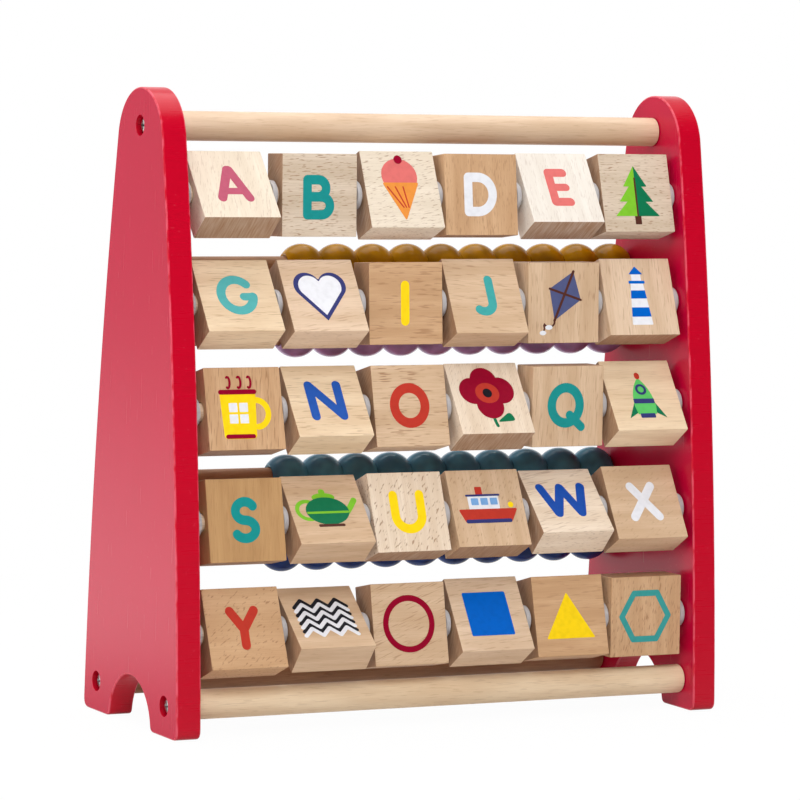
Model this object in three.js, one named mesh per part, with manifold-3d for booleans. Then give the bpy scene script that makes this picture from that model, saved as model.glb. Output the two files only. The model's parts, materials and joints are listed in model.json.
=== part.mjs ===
// Alphabet abacus: two lacquered side panels held apart by three rails, five rows of turning
// letter blocks at the front and five rows of sliding counting beads at the back.
// Millimetres. X runs along the rods, the blocks face -Y, Z is up. The origin lies on the
// floor, midway between the two panels.
import * as THREE from 'three';
import { mergeVertices } from 'three/addons/utils/BufferGeometryUtils.js';
import Module from 'manifold-3d';

const wasm = await Module();
wasm.setup();

// Side panels
const panelThickness = 12;
const panelHeight = 291.5;
const panelBaseDepth = 108;
const panelSideRadius = 2050;
const panelCrownRadius = 25.6;
const footCornerRadius = 5;
const archRadius = 24;
const archHeight = 22.5;
const archCornerRadius = 3;
const panelEdgeEase = 1;

// Rails and their screws
const railDiameter = 13.6;
const topRailDrop = 17.4;
const bottomRailHeight = 14;
const bottomRailInset = 14.3;
const screwShankDiameter = 3.6;
const screwHeadDiameter = 8.2;
const screwHeadHeight = 2.4;
const screwHeadRimHeight = 1.4;
const screwHeadTopDiameter = 5.8;
const screwShankReach = 22;
const screwTipLength = 3;
const screwHeadSink = 1.2;
const crossSlotLength = 4.6;
const crossSlotWidth = 1;
const crossSlotDepth = 1.3;
const counterboreMargin = 0.7;

// Block rows
const blockWidth = 38;
const blockHeight = 38;
const blockDepth = 16;
const blockEdgeEase = 0.6;
const axleDiameter = 8.5;
const axleInset = 13.4;
const lowestAxleAboveRail = 32;
const highestAxleBelowRail = 30.4;
const axleDrillLifts = [-0.15, -0.35, 0.85, 0.5, -0.25];
const spacerDiameter = 13.5;
const spacerLength = 2.4;
const spacerPlay = 0.87;

// Bead rows
const beadDiameter = 20.4;
const beadLength = 18.5;
const beadsPerRow = 10;
const beadNeckWall = 0.9;
const beadRodDiameter = 8.5;
const beadRodInset = 13.2;
const lowestBeadRodAboveRail = 59.4;
const highestBeadRodBelowRail = 65;
const beadRodDrillLifts = [-0.1, 0.3, 0.6, 1, -0.7];

// Fits
const turningClearance = 0.4;
const slidingClearance = 0.4;
const seatClearance = 0.3;
const socketDepth = 7;

// Facets of the round pieces and of the panel's curves
const roundSides = 12;
const sideSteps = 8;
const crownSteps = 18;
const archSteps = 14;
const cornerSteps = 2;
const beadSteps = 4;

// The blocks of each row, from left to right: name, tilt at rest in degrees (below zero turns
// the face up) and how far the block has slid to the right along its axle
const blockRows = [
  [['a', -40, 1.4], ['b', -2, 2.2], ['c', -24, 2.7], ['d', -7, 1.7], ['e', -34, 2], ['f', -16, 1]],
  [['g', -36, 1.6], ['h', -34, 2.1], ['i', -4, 2], ['j', -28, 1.6], ['k', -2, 1], ['l', -21, 0.3]],
  [['m', -15, 2.8], ['n', -37, 2.7], ['o', -14, 2.7], ['p', -35, 2.4], ['q', -1, 1.5], ['r', -35, 0.8]],
  [['s', -12, 2.3], ['t', -42, 2], ['u', -22, 1], ['v', -27, 0.4], ['w', -46, 0.4], ['x', -31, 0.2]],
  [['y', -23, 1.3], ['z', -51, 0.8], ['circle', -12, 0.6], ['square', -34, 0.6], ['triangle', -15, 1],
    ['hexagon', -1, 0]],
];

// The bead rows from top to bottom, with their lacquers
const beadRows = [
  ['yellow', 0xc89010],
  ['purple', 0x7d4f86],
  ['coral', 0xd4573f],
  ['teal', 0x2a7480],
  ['blue', 0x1f3f86],
];

// Places worked out from the sizes above
const blockGap = spacerLength + 2 * spacerPlay;
const blocksPerRow = blockRows[0].length;
const innerWidth = blocksPerRow * blockWidth + (blocksPerRow + 1) * blockGap;
const overallWidth = innerWidth + 2 * panelThickness;
const topRailHeight = panelHeight - topRailDrop;
const sideCircle = findSideCircle();

const redLacquer = new THREE.MeshStandardMaterial({ color: 0xb8102a, roughness: 0.4, metalness: 0 });
const beech = new THREE.MeshStandardMaterial({ color: 0xd9b684, roughness: 0.6, metalness: 0 });
const darkDowel = new THREE.MeshStandardMaterial({ color: 0x9a7150, roughness: 0.6, metalness: 0 });
const milkyPlastic = new THREE.MeshStandardMaterial({ color: 0xe6e6ea, roughness: 0.35, metalness: 0 });
const screwSteel = new THREE.MeshStandardMaterial({ color: 0xa8a8a8, roughness: 0.35, metalness: 1 });

// The long side of a panel is an arc that starts at the foot and runs smoothly into the crown:
// its circle passes through the foot's corner and touches the crown's circle from outside.
function findSideCircle() {
  const foot = new THREE.Vector2(panelBaseDepth / 2, 0);
  const crown = new THREE.Vector2(0, panelHeight - panelCrownRadius);
  const line = crown.clone().sub(foot);
  const length = line.length();
  const innerRadius = panelSideRadius - panelCrownRadius;
  const along = (panelSideRadius ** 2 - innerRadius ** 2 + length ** 2) / (2 * length);
  const across = Math.sqrt(panelSideRadius ** 2 - along ** 2);
  const unit = line.normalize();
  const outward = new THREE.Vector2(-unit.y, unit.x);
  return foot.addScaledVector(unit, along).addScaledVector(outward, across);
}

// Half the panel's depth at a height on its long side
function halfDepthAt(height) {
  return sideCircle.x + Math.sqrt(panelSideRadius ** 2 - (height - sideCircle.y) ** 2);
}

function arcPoints(centre, radius, fromAngle, toAngle, steps) {
  const points = [];
  for (let i = 0; i <= steps; i++) {
    const angle = fromAngle + ((toAngle - fromAngle) * i) / steps;
    points.push(new THREE.Vector2(centre.x + radius * Math.cos(angle), centre.y + radius * Math.sin(angle)));
  }
  return points;
}

function cornerPoints(from, corner, to) {
  return new THREE.QuadraticBezierCurve(from, corner, to).getPoints(cornerSteps);
}

// Half of the panel's outline, from the top of the arch round the foot to the top of the crown
function panelHalfOutline() {
  const crown = new THREE.Vector2(0, panelHeight - panelCrownRadius);
  const arch = new THREE.Vector2(0, archHeight - archRadius);
  const archFootAngle = Math.asin((archCornerRadius - arch.y) / archRadius);
  const archEnd = Math.sqrt(archRadius ** 2 - arch.y ** 2);
  const archPoints = arcPoints(arch, archRadius, Math.PI / 2, archFootAngle, archSteps / 2);
  const innerCorner = cornerPoints(
    archPoints[archPoints.length - 1],
    new THREE.Vector2(archEnd, 0),
    new THREE.Vector2(archEnd + archCornerRadius, 0),
  );
  const footEnd = panelBaseDepth / 2;
  const outerCorner = cornerPoints(
    new THREE.Vector2(footEnd - footCornerRadius, 0),
    new THREE.Vector2(footEnd, 0),
    new THREE.Vector2(halfDepthAt(footCornerRadius), footCornerRadius),
  );
  const tangentAngle = Math.atan2(crown.y - sideCircle.y, crown.x - sideCircle.x);
  const sideStart = Math.asin((footCornerRadius - sideCircle.y) / panelSideRadius);
  const side = arcPoints(sideCircle, panelSideRadius, sideStart, tangentAngle, sideSteps);
  const top = arcPoints(crown, panelCrownRadius, tangentAngle, Math.PI / 2, crownSteps / 2);
  return [...archPoints, ...innerCorner.slice(1), ...outerCorner, ...side.slice(1), ...top.slice(1)];
}

function panelShape() {
  const half = panelHalfOutline();
  const other = half.slice(1, -1).reverse().map((point) => new THREE.Vector2(-point.x, point.y));
  return new THREE.Shape([...half, ...other]);
}

// A closed solid from a three.js geometry: shared corners merged, empty triangles dropped,
// faces turned outwards
function solid(geometry) {
  const bare = geometry.clone();
  bare.deleteAttribute('normal');
  bare.deleteAttribute('uv');
  const merged = mergeVertices(bare, 1e-4);
  const corners = merged.attributes.position;
  const triangles = [];
  let volume = 0;
  for (let i = 0; i < merged.index.count; i += 3) {
    const ids = [merged.index.getX(i), merged.index.getX(i + 1), merged.index.getX(i + 2)];
    if (new Set(ids).size < 3) continue;
    const [a, b, c] = ids.map((id) => new THREE.Vector3().fromBufferAttribute(corners, id));
    volume += a.dot(b.cross(c));
    triangles.push(ids);
  }
  const outward = volume > 0 ? triangles : triangles.map(([a, b, c]) => [a, c, b]);
  return new wasm.Manifold(new wasm.Mesh({
    numProp: 3,
    vertProperties: new Float32Array(corners.array),
    triVerts: new Uint32Array(outward.flat()),
  }));
}

function part(name, body, material) {
  const mesh = body.getMesh();
  const geometry = new THREE.BufferGeometry();
  geometry.setAttribute('position', new THREE.BufferAttribute(new Float32Array(mesh.vertProperties), 3));
  geometry.setIndex(new THREE.BufferAttribute(new Uint32Array(mesh.triVerts), 1));
  geometry.computeVertexNormals();
  const piece = new THREE.Mesh(geometry, material);
  piece.name = name;
  return piece;
}

// A turned solid along X: the outline is a list of [x, radius], from one end to the other
function turned(outline) {
  const points = outline.map(([x, radius]) => new THREE.Vector2(radius, x));
  return new THREE.LatheGeometry(points, roundSides).rotateZ(-Math.PI / 2);
}

function rod(fromX, toX, diameter) {
  const radius = diameter / 2;
  return turned([[fromX, 0], [fromX, radius], [toX, radius], [toX, 0]]);
}

// A flat outline in Y and Z, extruded along X with eased edges, starting at X = 0
function plate(shape, thickness, ease) {
  const geometry = new THREE.ExtrudeGeometry(shape, {
    depth: thickness - 2 * ease,
    bevelThickness: ease,
    bevelSize: ease,
    bevelOffset: -ease,
    bevelSegments: 1,
  });
  geometry.translate(0, 0, ease);
  const alongX = new THREE.Matrix4().makeBasis(
    new THREE.Vector3(0, 1, 0),
    new THREE.Vector3(0, 0, 1),
    new THREE.Vector3(1, 0, 0),
  );
  return geometry.applyMatrix4(alongX);
}

// Rails, axles and bead rods: their names and where they cross the panels, as [y, z]
const bottomRailDepth = halfDepthAt(bottomRailHeight) - bottomRailInset;
const rails = [
  ['top', [0, topRailHeight]],
  ['front', [-bottomRailDepth, bottomRailHeight]],
  ['rear', [bottomRailDepth, bottomRailHeight]],
];

// Heights of rows from the top down: evenly spaced, but each drilled a little above or below
function rowHeights(lifts, lowest, highest) {
  const pitch = (highest - lowest) / (lifts.length - 1);
  return lifts.map((lift, row) => highest - row * pitch + lift);
}

const axlePlaces = rowHeights(
  axleDrillLifts,
  bottomRailHeight + lowestAxleAboveRail,
  topRailHeight - highestAxleBelowRail,
).map((height) => [axleInset - halfDepthAt(height), height]);

const beadRodPlaces = rowHeights(
  beadRodDrillLifts,
  bottomRailHeight + lowestBeadRodAboveRail,
  topRailHeight - highestBeadRodBelowRail,
).map((height) => [halfDepthAt(height) - beadRodInset, height]);

// A side panel stands on its outer face at X = 0 and is turned round for the other side. Its
// inner face has the blind sockets of the rods, its outer face the counterbores of the screws.
const counterboreDiameter = screwHeadDiameter + 2 * counterboreMargin;
const counterboreDepth = screwHeadSink + screwHeadHeight + seatClearance;
const screwHoleDiameter = screwShankDiameter + 2 * seatClearance;

function sidePanel(name, side) {
  let body = solid(plate(panelShape(), panelThickness, panelEdgeEase));
  const cut = (geometry, [y, z]) => {
    body = body.subtract(solid(geometry.translate(0, side * y, z)));
  };
  const beyond = panelThickness;
  for (const [places, rodDiameter] of [[axlePlaces, axleDiameter], [beadRodPlaces, beadRodDiameter]]) {
    for (const place of places) {
      const diameter = rodDiameter + 2 * seatClearance;
      cut(rod(panelThickness - socketDepth, panelThickness + beyond, diameter), place);
    }
  }
  for (const [, place] of rails) {
    cut(rod(-beyond, counterboreDepth, counterboreDiameter), place);
    cut(rod(-beyond, panelThickness + beyond, screwHoleDiameter), place);
  }
  const panel = part(name, body, redLacquer);
  panel.position.x = (-side * overallWidth) / 2;
  panel.rotation.z = side > 0 ? 0 : Math.PI;
  return panel;
}

// A rail butts against both panels and has a pilot hole for a screw in each end
function rail(name, [y, z]) {
  const half = innerWidth / 2 - seatClearance;
  const pilotDepth = screwShankReach + seatClearance - (panelThickness - counterboreDepth);
  let body = solid(rod(-half, half, railDiameter));
  for (const end of [-1, 1]) {
    const pilot = rod(half - pilotDepth, half + pilotDepth, screwHoleDiameter);
    body = body.subtract(solid(end > 0 ? pilot : pilot.rotateZ(Math.PI)));
  }
  const piece = part(name, body, beech);
  piece.position.set(0, y, z);
  return piece;
}

// A screw points along +X, with the seat of its head at X = 0
function screw(name, side, [y, z]) {
  const headRadius = screwHeadDiameter / 2;
  const shankRadius = screwShankDiameter / 2;
  const outline = [
    [-screwHeadHeight, 0],
    [-screwHeadHeight, screwHeadTopDiameter / 2],
    [-screwHeadRimHeight, headRadius],
    [0, headRadius],
    [0, shankRadius],
    [screwShankReach - screwTipLength, shankRadius],
    [screwShankReach, 0],
  ];
  let body = solid(turned(outline));
  for (const turn of [0, Math.PI / 2]) {
    const slot = new THREE.BoxGeometry(2 * crossSlotDepth, crossSlotLength, crossSlotWidth);
    slot.rotateX(turn).translate(-screwHeadHeight, 0, 0);
    body = body.subtract(solid(slot));
  }
  const piece = part(name, body, screwSteel);
  const seat = overallWidth / 2 - counterboreDepth + seatClearance;
  piece.position.set(side * seat, y, z);
  piece.rotation.z = side < 0 ? 0 : Math.PI;
  return piece;
}

function blockCentre(column, shift) {
  return (column - (blocksPerRow - 1) / 2) * (blockWidth + blockGap) + shift;
}

// An axle is a dowel in both panels' sockets, with a spacer ring in the middle of every gap
function axle(name, row, [y, z]) {
  const inner = innerWidth / 2;
  const end = inner + socketDepth - seatClearance;
  const radius = axleDiameter / 2;
  const edges = [-inner];
  blockRows[row].forEach(([, , shift], column) => {
    const centre = blockCentre(column, shift);
    edges.push(centre - blockWidth / 2, centre + blockWidth / 2);
  });
  edges.push(inner);
  const outline = [[-end, 0], [-end, radius]];
  for (let gap = 0; gap <= blocksPerRow; gap++) {
    const middle = (edges[2 * gap] + edges[2 * gap + 1]) / 2;
    const near = middle - spacerLength / 2;
    const far = middle + spacerLength / 2;
    outline.push([near, radius], [near, spacerDiameter / 2], [far, spacerDiameter / 2], [far, radius]);
  }
  outline.push([end, radius], [end, 0]);
  const piece = part(name, solid(turned(outline)), milkyPlastic);
  piece.position.set(0, y, z);
  return piece;
}

// A block is centred on its bore, with its printed faces to the front and back
function block(name, centre, tilt, [y, z]) {
  const wide = blockWidth / 2;
  const tall = blockHeight / 2;
  const outline = new THREE.Shape([
    new THREE.Vector2(-blockDepth / 2, -tall),
    new THREE.Vector2(blockDepth / 2, -tall),
    new THREE.Vector2(blockDepth / 2, tall),
    new THREE.Vector2(-blockDepth / 2, tall),
  ].flatMap((corner) => easedCorner(corner)));
  const blank = plate(outline, blockWidth, blockEdgeEase).translate(-wide, 0, 0);
  const bore = rod(-blockWidth, blockWidth, axleDiameter + 2 * turningClearance);
  const piece = part(name, solid(blank).subtract(solid(bore)), beech);
  piece.position.set(centre, y, z);
  piece.rotation.x = THREE.MathUtils.degToRad(tilt);
  return piece;
}

// The two points that cut a rectangle's corner off by the ease, in counterclockwise order
function easedCorner(corner) {
  const alongX = new THREE.Vector2(corner.x - Math.sign(corner.x) * blockEdgeEase, corner.y);
  const alongY = new THREE.Vector2(corner.x, corner.y - Math.sign(corner.y) * blockEdgeEase);
  return corner.x * corner.y > 0 ? [alongY, alongX] : [alongX, alongY];
}

// Ten beads in a row, pushed against the right panel. Each bulges to its full diameter and
// meets the next in a neck that leaves a wall round the bore.
function beadRow(name, color, [y, z]) {
  const bore = beadRodDiameter / 2 + slidingClearance;
  const neck = bore + beadNeckWall;
  const halfLength = beadLength / 2;
  const swell = halfLength / Math.sqrt(1 - (neck / (beadDiameter / 2)) ** 2);
  const neckAngle = Math.asin(halfLength / swell);
  const right = innerWidth / 2 - seatClearance;
  const left = right - beadsPerRow * beadLength;
  const outline = [[left, bore], [left, neck]];
  for (let bead = 0; bead < beadsPerRow; bead++) {
    const middle = left + (bead + 0.5) * beadLength;
    for (let step = 1; step <= beadSteps; step++) {
      const angle = neckAngle * ((2 * step) / beadSteps - 1);
      outline.push([middle + swell * Math.sin(angle), (beadDiameter / 2) * Math.cos(angle)]);
    }
  }
  outline.push([right, bore], [left, bore]);
  const lacquer = new THREE.MeshStandardMaterial({ color, roughness: 0.25, metalness: 0 });
  const piece = part(name, solid(turned(outline)), lacquer);
  piece.position.set(0, y, z);
  return piece;
}

function beadRod(name, [y, z]) {
  const end = innerWidth / 2 + socketDepth - seatClearance;
  const piece = part(name, solid(rod(-end, end, beadRodDiameter)), darkDowel);
  piece.position.set(0, y, z);
  return piece;
}

const abacus = new THREE.Group();
abacus.name = 'alphabet_abacus';

abacus.add(sidePanel('side_panel_left', 1), sidePanel('side_panel_right', -1));
for (const [name, place] of rails) {
  abacus.add(rail(`${name}_rail`, place));
  abacus.add(screw(`screw_${name}_left`, -1, place), screw(`screw_${name}_right`, 1, place));
}
blockRows.forEach((blocks, row) => {
  abacus.add(axle(`axle_${row + 1}`, row, axlePlaces[row]));
  blocks.forEach(([name, tilt, shift], column) => {
    abacus.add(block(`block_${name}`, blockCentre(column, shift), tilt, axlePlaces[row]));
  });
});
beadRows.forEach(([name, color], row) => {
  abacus.add(beadRod(`bead_rod_${row + 1}`, beadRodPlaces[row]));
  abacus.add(beadRow(`beads_${name}`, color, beadRodPlaces[row]));
});

export default abacus;
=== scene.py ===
# %% [markdown]
# # An alphabet abacus
# Two red panels, three rails, five rows of turning letter blocks and, behind them, five rows of
# counting beads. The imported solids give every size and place, and stay hidden: each piece here
# is a finer mesh over its solid, in the same place, so a joint that moves the solid moves it too.

# %% Load the frame
import json
import math

import bmesh
import bpy
from mathutils import Matrix, Vector
from mathutils.geometry import delaunay_2d_cdt


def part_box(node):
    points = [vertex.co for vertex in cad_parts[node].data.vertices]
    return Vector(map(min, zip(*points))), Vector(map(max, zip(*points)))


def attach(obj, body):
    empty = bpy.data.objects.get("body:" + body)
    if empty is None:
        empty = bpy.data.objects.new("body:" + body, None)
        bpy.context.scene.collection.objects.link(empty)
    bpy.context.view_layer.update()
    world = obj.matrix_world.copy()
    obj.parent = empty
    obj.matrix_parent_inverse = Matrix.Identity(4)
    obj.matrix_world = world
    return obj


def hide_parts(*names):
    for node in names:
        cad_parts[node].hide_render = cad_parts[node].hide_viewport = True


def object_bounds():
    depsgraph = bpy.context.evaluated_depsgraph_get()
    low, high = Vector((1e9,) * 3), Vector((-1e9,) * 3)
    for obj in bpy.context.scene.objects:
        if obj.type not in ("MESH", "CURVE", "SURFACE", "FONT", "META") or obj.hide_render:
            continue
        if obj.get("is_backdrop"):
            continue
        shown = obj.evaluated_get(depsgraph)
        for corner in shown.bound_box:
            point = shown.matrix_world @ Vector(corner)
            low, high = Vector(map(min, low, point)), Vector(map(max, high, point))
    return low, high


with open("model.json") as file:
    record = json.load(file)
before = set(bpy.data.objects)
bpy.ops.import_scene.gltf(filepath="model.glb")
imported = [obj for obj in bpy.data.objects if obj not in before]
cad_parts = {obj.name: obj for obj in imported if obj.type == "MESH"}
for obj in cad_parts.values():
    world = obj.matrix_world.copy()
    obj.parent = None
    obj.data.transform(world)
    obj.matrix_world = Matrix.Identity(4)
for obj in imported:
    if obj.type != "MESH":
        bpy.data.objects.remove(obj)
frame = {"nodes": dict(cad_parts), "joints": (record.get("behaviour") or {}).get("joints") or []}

cad_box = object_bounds()
MM = 0.001
joint_place = {joint["child"]: Vector(joint["pos_m"]) for joint in frame["joints"] if "pos_m" in joint}
print("solids", len(frame["nodes"]), "turning blocks", len(joint_place))

# %% [markdown]
# ## The camera
# A long lens stands well back on the left, a little higher than the top of the object and turned
# slightly about its own axis. The focal length was found in pixels of a square picture, so it is
# turned into millimetres of sensor here. The picture's middle is the lens's middle: no shift.

# %% Camera
PICTURE_SIDE = 800
FOCAL_PIXELS = 4211
SENSOR_WIDTH = 36.0
CAMERA_PLACE = (-0.9025, -1.7579, 0.3166)
CAMERA_PAN = -27.05
CAMERA_TILT = -4.92
CAMERA_SPIN = 1.40

scene = bpy.context.scene


def add_object(name, data):
    made = bpy.data.objects.new(name, data)
    scene.collection.objects.link(made)
    return made


camera = add_object("camera", bpy.data.cameras.new("camera"))
camera.data.sensor_width = SENSOR_WIDTH
camera.data.lens = SENSOR_WIDTH * FOCAL_PIXELS / PICTURE_SIDE
camera.matrix_world = (
    Matrix.Translation(CAMERA_PLACE)
    @ Matrix.Rotation(math.radians(CAMERA_PAN), 4, "Z")
    @ Matrix.Rotation(math.radians(90 + CAMERA_TILT), 4, "X")
    @ Matrix.Rotation(math.radians(CAMERA_SPIN), 4, "Z")
)
scene.camera = camera
scene.view_settings.view_transform = "Standard"
print("lens", round(camera.data.lens, 1), "mm")

# %% [markdown]
# ## Writing finishes as sums
# A finish is a small graph of nodes. Wiring it by hand hides the idea, so `Field` wraps one output
# and lets Python's own signs add the Math or Vector Math node: `1 - flecks` reads as it works.
# `Finish` owns the graph, and its method `node` makes every node: settings first, then sockets.

# %% Finish helpers
def srgb(red, green, blue):
    """A colour as a paint chart gives it, turned into the linear values that shaders use."""
    parts = [value / 255 for value in (red, green, blue)]
    linear = [p / 12.92 if p <= 0.04045 else ((p + 0.055) / 1.055) ** 2.4 for p in parts]
    return (*linear, 1.0)


class Field:
    """One output of a node, with the arithmetic that the finishes below need."""

    def __init__(self, finish, socket):
        self.finish = finish
        self.socket = socket

    def apply(self, operation, first, second):
        if self.socket.type != "VECTOR":
            return self.finish.node("ShaderNodeMath", {"operation": operation}, {0: first, 1: second})
        terms = [(term,) * 3 if isinstance(term, (int, float)) else term for term in (first, second)]
        return self.finish.node("ShaderNodeVectorMath", {"operation": operation}, dict(enumerate(terms)))

    def __add__(self, other):
        return self.apply("ADD", self, other)

    def __sub__(self, other):
        return self.apply("SUBTRACT", self, other)

    def __rsub__(self, other):
        return self.apply("SUBTRACT", other, self)

    def __mul__(self, other):
        return self.apply("MULTIPLY", self, other)

    __radd__ = __add__
    __rmul__ = __mul__


class Finish:
    """A material's graph, ending in one Principled shader."""

    def __init__(self, name, data=None):
        self.data = data or bpy.data.materials.new(name)
        self.data.use_nodes = True
        self.tree = self.data.node_tree
        self.tree.nodes.clear()

    def node(self, kind, settings=None, sockets=None, output=0):
        made = self.tree.nodes.new(kind)
        for key, value in (settings or {}).items():
            setattr(made, key, value)
        for key, value in (sockets or {}).items():
            if isinstance(value, Field):
                self.tree.links.new(value.socket, made.inputs[key])
            else:
                made.inputs[key].default_value = value
        return Field(self, made.outputs[output]) if made.outputs else None

    def place(self, turn=(0, 0, 0), shift=(0, 0, 0)):
        """The point on the piece in millimetres, turned and shifted."""
        point = self.node("ShaderNodeTexCoord", output="Object")
        sockets = {"Vector": point, "Location": shift, "Rotation": turn, "Scale": (1 / MM,) * 3}
        return self.node("ShaderNodeMapping", {"vector_type": "POINT"}, sockets)

    def noise(self, point, per_mm, detail=2.0):
        """Cloudy values about one half; a small number per millimetre stretches them that way."""
        sockets = {"Vector": point * per_mm, "Scale": 1.0, "Detail": detail}
        return self.node("ShaderNodeTexNoise", None, sockets)

    def between(self, value, low, high):
        """0 below low, 1 above high, and smooth between."""
        sockets = {"Value": value, "From Min": low, "From Max": high}
        return self.node("ShaderNodeMapRange", {"interpolation_type": "SMOOTHSTEP"}, sockets)

    def patches(self, point, per_mm, detail, low, high):
        """Noise made into patches of 0 and 1 with soft borders."""
        return self.between(self.noise(point, per_mm, detail), low, high)

    def part(self, vector, axis):
        return self.node("ShaderNodeSeparateXYZ", None, {0: vector}, output=axis)

    def ray(self, kind):
        """1 where a ray of this kind looks, such as one from the camera, and 0 elsewhere."""
        return self.node("ShaderNodeLightPath", output=f"Is {kind} Ray")

    def mix(self, share, first, second):
        sockets = {0: share, 6: first, 7: second}
        return self.node("ShaderNodeMix", {"data_type": "RGBA"}, sockets, output=2)

    def bump(self, height, distance_mm):
        return self.node("ShaderNodeBump", None, {"Height": height, "Distance": distance_mm * MM})

    def shade(self, **sockets):
        named = {key.replace("_", " ").title(): value for key, value in sockets.items()}
        named = {key.replace("Ior", "IOR"): value for key, value in named.items()}
        surface = self.node("ShaderNodeBsdfPrincipled", None, named)
        self.node("ShaderNodeOutputMaterial", None, {"Surface": surface})
        return self.data


print("finish helpers ready")

# %% [markdown]
# ## Red lacquer
# The panels are boards sprayed red. The board's upright grain still telegraphs through the thin
# coat as faint streaks, and the sawn edges keep fine level ridges and a deeper red. A satin roughness
# lets the bright room behind wash over the face, and the flat faces also get a bluer red than the
# edges: a painted tint for that sheen. The rounded edges are paler: partly rubbed wear, but mostly a
# painted highlight along the arris.

# %% Red lacquer
RED = srgb(197, 2, 38)
# The flat faces' red is bluer than the edges' red: a painted tint for the sheen of the room on them
SHEEN_TINT_RED = srgb(199, 2, 60)
DEEP_RED = srgb(178, 0, 30)
# A paler red for dust specks and for the rounded edges, whose paleness is partly wear and mostly a painted
# highlight
WEAR_AND_HIGHLIGHT_RED = srgb(228, 96, 116)


def red_lacquer():
    finish = Finish("panel_lacquer")
    point = finish.place()
    facing = finish.node("ShaderNodeNewGeometry", output="Normal")
    sideways = finish.part(facing, "X")
    on_face = finish.between(sideways * sideways, 0.3, 0.7)
    streaks = finish.noise(point, (0.9, 0.9, 0.03), 3.0)
    ridges = finish.noise(point, (0.05, 1.1, 1.7), 2.0)
    clouds = finish.noise(point, (0.02, 0.02, 0.02))
    dust = finish.patches(point, (0.7, 0.7, 0.7), 0.0, 0.79, 0.82)
    relief = on_face * (0.35 * streaks) + (1 - on_face) * (0.7 * ridges)
    # Painted sheen: the flat faces get the bluer red
    colour = finish.mix(on_face, RED, SHEEN_TINT_RED)
    colour = finish.mix(relief, colour, DEEP_RED)
    colour = finish.mix(clouds * 0.25, colour, DEEP_RED)
    colour = finish.mix(dust * 0.12, colour, WEAR_AND_HIGHLIGHT_RED)
    return finish.shade(
        base_color=colour,
        roughness=0.24 + 0.14 * relief,
        normal=finish.bump(relief + 0.3 * dust, 0.05),
        specular_ior_level=0.27,
    )


# The rounded edges: paler patches, partly rubbed wear and mostly a painted highlight along the arris
def worn_highlight_lacquer():
    finish = Finish("panel_worn_highlight_edge")
    point = finish.place()
    wear_and_highlight = finish.patches(point, (0.5, 0.5, 0.16), 4.0, 0.36, 0.6)
    colour = finish.mix(wear_and_highlight * 0.6, RED, WEAR_AND_HIGHLIGHT_RED)
    return finish.shade(base_color=colour, roughness=0.3 + 0.12 * wear_and_highlight)


panel_finishes = [red_lacquer(), worn_highlight_lacquer()]
print("lacquers", [finish.name for finish in panel_finishes])

# %% [markdown]
# ## Bare wood
# Blocks, rails and rods are beech: pale bands, fine fibres and the short dark dashes that beech
# always shows. All three are noise stretched along the grain. The grain may run along or up a
# block, and the dashes may lie aslant where the board was cut that way, so both angles are given.
# Faces across the grain drink more oil, so they turn browner and show the yearly rings as lines.

# %% Bare wood
TIMBER_TONES = {
    "white": ((234, 226, 216), (221, 211, 199)),
    "cream": ((230, 216, 197), (215, 199, 178)),
    "pale": ((235, 217, 196), (214, 190, 164)),
    "wheat": ((234, 210, 178), (214, 184, 149)),
    "grey": ((217, 199, 179), (195, 174, 150)),
    "straw": ((224, 197, 170), (202, 171, 140)),
    "sand": ((216, 186, 155), (194, 160, 126)),
    "honey": ((210, 171, 133), (188, 147, 108)),
    "amber": ((192, 151, 104), (173, 131, 87)),
    "brown": ((184, 142, 106), (150, 110, 80)),
}
# How many dashes fit in a millimetre along and across them, for each way of cutting the board
DASHES = {"fine": (0.26, 2.1, 2.1), "long": (0.13, 1.6, 1.6), "short": (0.3, 1.0, 1.0)}
FLECK_BROWN = srgb(138, 92, 56)
END_BROWN = srgb(158, 120, 90)
SEED_STEP = (37.0, 53.0, 71.0)
RING_TILT = math.radians(40)


def timber(name, tone, seed, grain=0.0, fleck_angle=0.0, dash="long", flecks=0.4):
    finish = Finish(name)
    light, dark = [srgb(*colour) for colour in TIMBER_TONES[tone]]
    shift = tuple(seed * step for step in SEED_STEP)
    angle = math.radians(grain)
    point = finish.place((0, angle, 0), shift)
    bands = finish.patches(point, (0.018, 0.16, 0.16), 2.0, 0.3, 0.7)
    fibres = finish.patches(point, (0.07, 2.3, 2.3), 3.0, 0.35, 0.7)
    slant = finish.place((0, math.radians(fleck_angle), 0), shift)
    dashes = finish.patches(slant, DASHES[dash], 1.0, 0.58, 0.71)
    rings = finish.noise(finish.place((RING_TILT, angle, 0), shift), (0.02, 0.1, 1.1))
    along = (math.cos(angle), 0, math.sin(angle))
    facing = finish.node("ShaderNodeTexCoord", output="Normal")
    dot = {"operation": "DOT_PRODUCT"}
    across = finish.node("ShaderNodeVectorMath", dot, {0: facing, 1: along}, output="Value")
    cut_end = finish.between(across * across, 0.5, 0.8)
    colour = finish.mix(bands * 0.75, light, dark)
    colour = finish.mix(fibres * (0.3 + 0.4 * flecks), colour, dark)
    colour = finish.mix(dashes * flecks * (1 - cut_end), colour, FLECK_BROWN)
    colour = finish.mix(cut_end * (0.45 + 0.8 * rings), colour, END_BROWN)
    return finish.shade(
        base_color=colour,
        roughness=0.5 + 0.14 * fibres,
        normal=finish.bump(fibres * 0.5 - dashes * flecks, 0.06),
        specular_ior_level=0.3,
    )


top_rail_wood = timber("top_rail_wood", "straw", 3, flecks=0.18)
front_rail_wood = timber("front_rail_wood", "wheat", 4, flecks=0.18)
axle_wood = timber("axle_wood", "straw", 5, flecks=0.2)
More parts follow.
